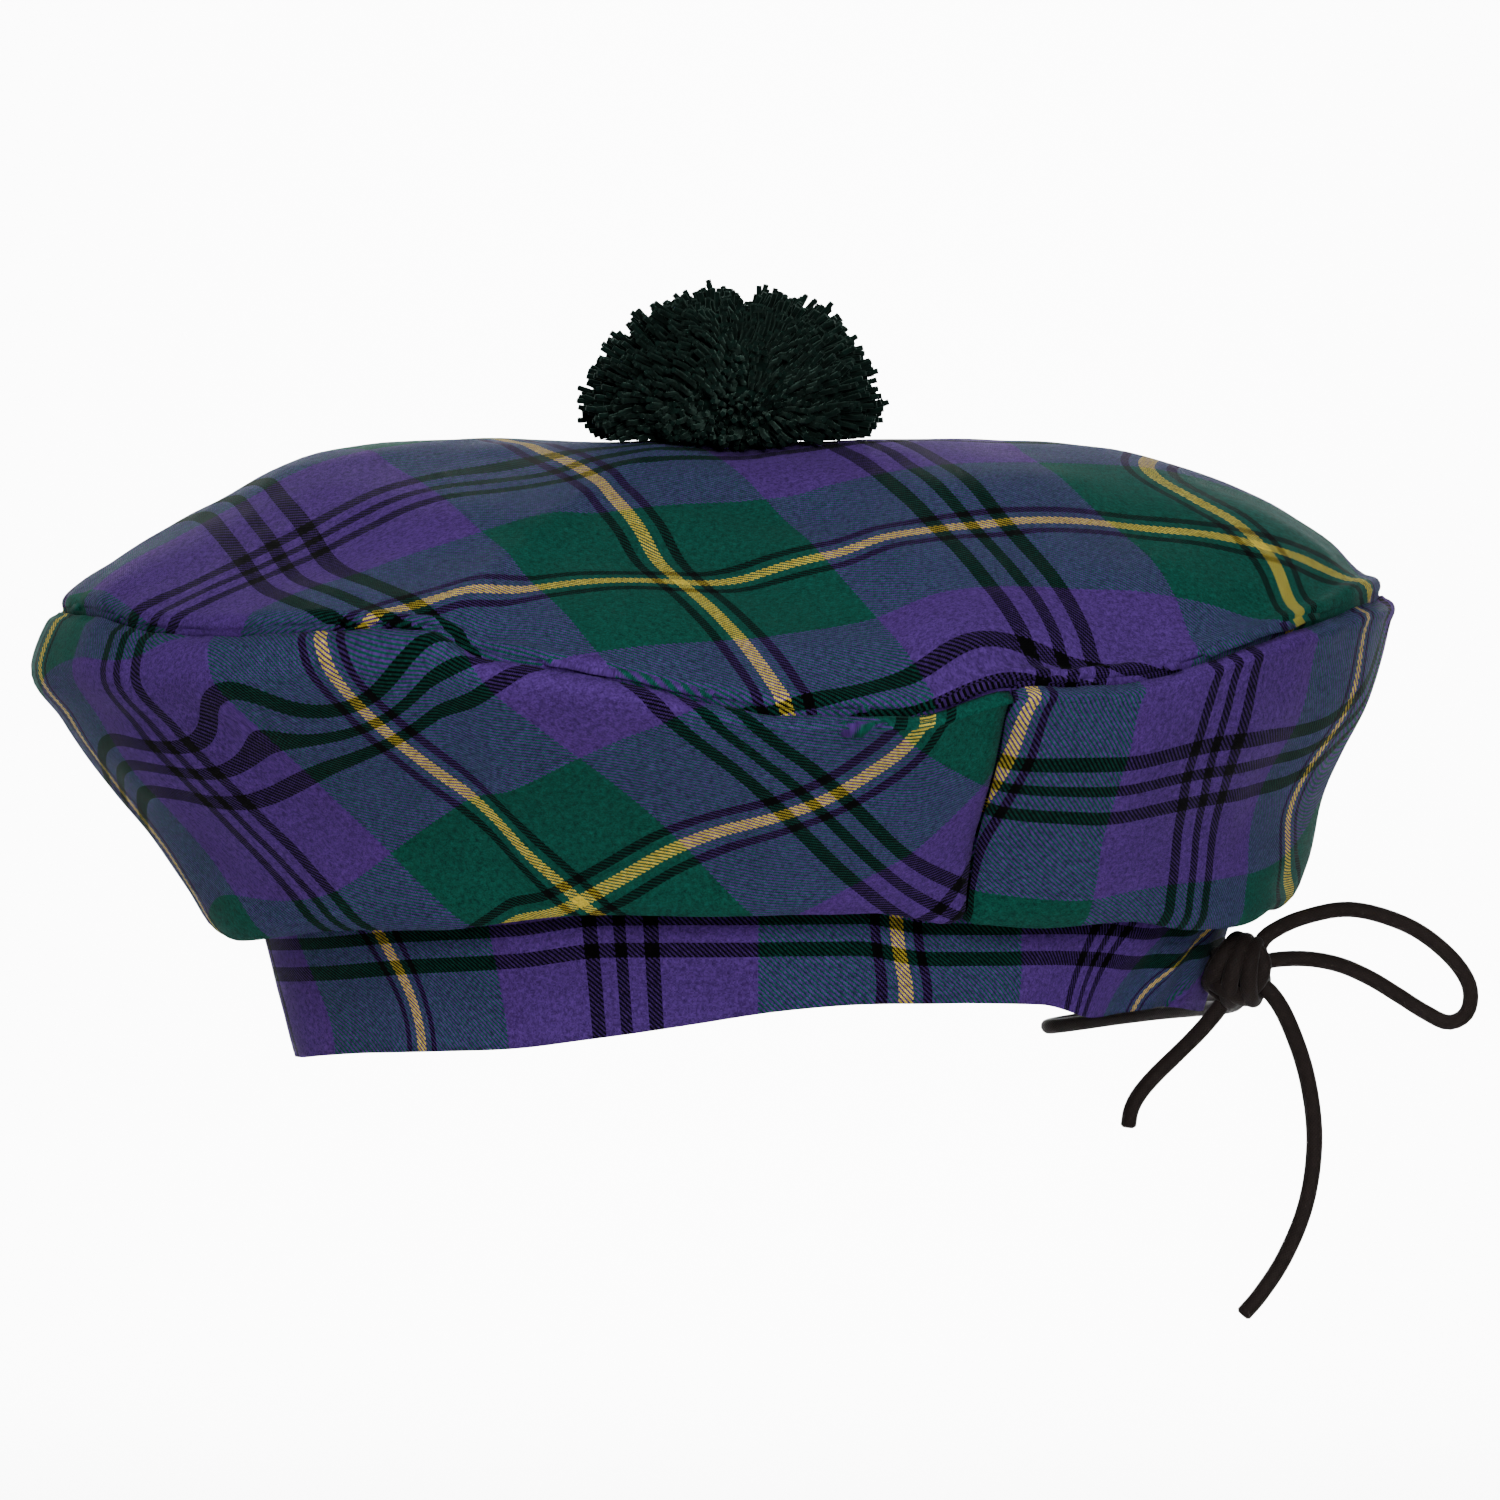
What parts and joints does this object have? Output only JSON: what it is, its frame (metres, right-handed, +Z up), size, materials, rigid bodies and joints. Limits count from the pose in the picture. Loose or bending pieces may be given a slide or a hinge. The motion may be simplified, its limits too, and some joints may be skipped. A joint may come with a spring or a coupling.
{
  "type": "tam o shanter",
  "caption": "Broad round tartan wool hat with a domed crown, an under crown that turns in to a straight headband, a wool pompom on top and a cord tied in a bow at the back of the band.",
  "frame": {"origin": "middle of the head opening, level with the hem at the forehead", "axes": "+Z up out of the crown, -X the forehead, +X the back of the head with the bow, -Y the wearer's left side"},
  "size_m": [0.2977, 0.2784, 0.2109],
  "materials": {
    "tartan_wool": "worsted wool in a two by two twill, tartan of violet blue and dark green with black lines and a fine yellow line, matt",
    "pompom_wool": "cut strands of very dark green wool yarn",
    "tie_cord": "smooth braided cord, brown black with a soft sheen"
  },
  "bodies": {
    "root": {"crown_top": "tartan_wool", "under_panel_front": "tartan_wool", "under_panel_back": "tartan_wool", "headband": "tartan_wool", "pompom": "pompom_wool", "tie_knot": "tie_cord", "tie_loop_back": "tie_cord", "tie_loop_side": "tie_cord", "tie_tail_long": "tie_cord", "tie_tail_short": "tie_cord"}
  },
  "joints": []
}
